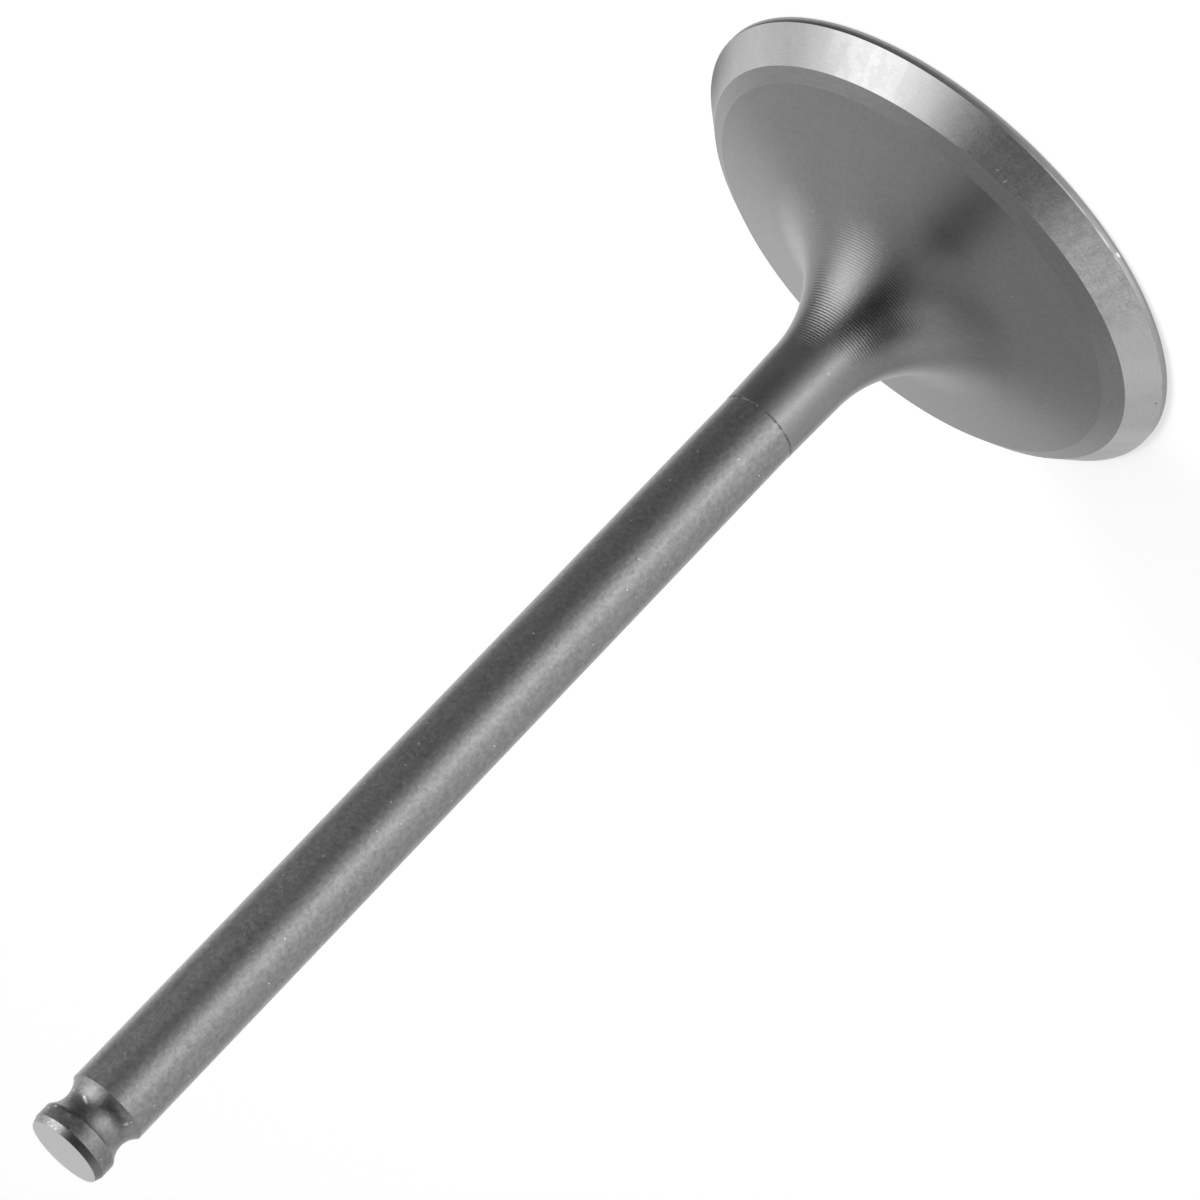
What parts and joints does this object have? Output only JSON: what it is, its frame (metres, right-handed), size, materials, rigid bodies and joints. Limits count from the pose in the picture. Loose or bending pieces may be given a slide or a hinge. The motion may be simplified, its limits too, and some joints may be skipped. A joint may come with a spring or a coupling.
{
  "type": "engine valve",
  "caption": "Poppet valve for an engine: a flat round head with a conical seat, swept into a long straight stem with a round keeper groove near its tip.",
  "frame": {"origin": "centre of the flat combustion face, on the stem's axis", "axes": "+Z along the stem, from the head to the tip; X and Y are free, because the valve is round"},
  "size_m": [0.0483, 0.0482, 0.1089],
  "materials": {
    "valve_steel": "turned and ground steel, satin"
  },
  "bodies": {
    "root": {"engine_valve": "valve_steel"}
  },
  "joints": []
}
